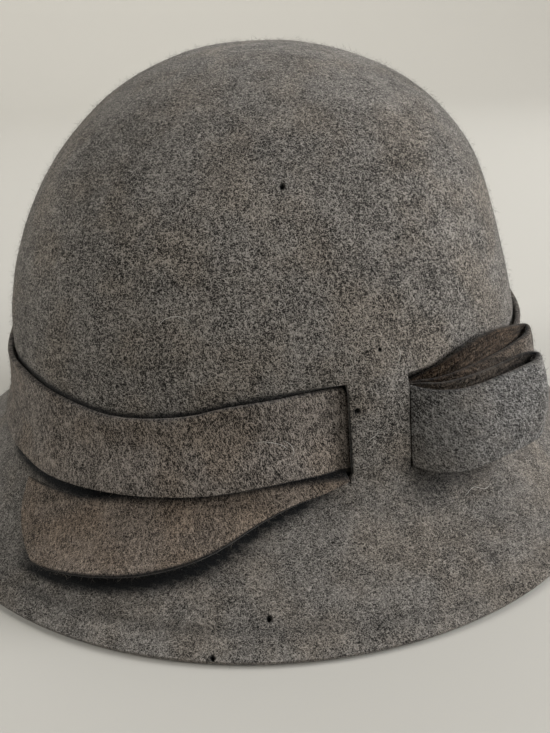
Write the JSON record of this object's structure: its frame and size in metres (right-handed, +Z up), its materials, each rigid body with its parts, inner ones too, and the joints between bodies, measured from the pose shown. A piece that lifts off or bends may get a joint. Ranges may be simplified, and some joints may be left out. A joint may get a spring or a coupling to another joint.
{
  "type": "cloche hat",
  "caption": "Blocked felt cloche with a deep round crown and a short down-turned brim, trimmed with a felt band that passes under a slit bridge, folded loops and a tail.",
  "frame": {"origin": "middle of the hat's footprint, on the surface that its brim rests on", "axes": "+X towards the front of the head, +Z up through the crown, -Y towards the side that carries the bridge, loops and tail"},
  "size_m": [0.2738, 0.265, 0.1562],
  "materials": {
    "hat_felt": "matt heathered grey wool felt, blocked",
    "band_felt": "matt warm grey wool felt, cut in a strip",
    "tail_felt": "matt brownish grey wool felt with a slanting nap",
    "front_loop_felt": "matt grey wool felt, folded",
    "back_loop_felt": "matt warm grey wool felt, folded"
  },
  "bodies": {
    "root": {"hat_body": "hat_felt", "hat_band": "band_felt", "tail": "tail_felt", "loop_front": "front_loop_felt", "loop_back": "back_loop_felt"}
  },
  "joints": []
}
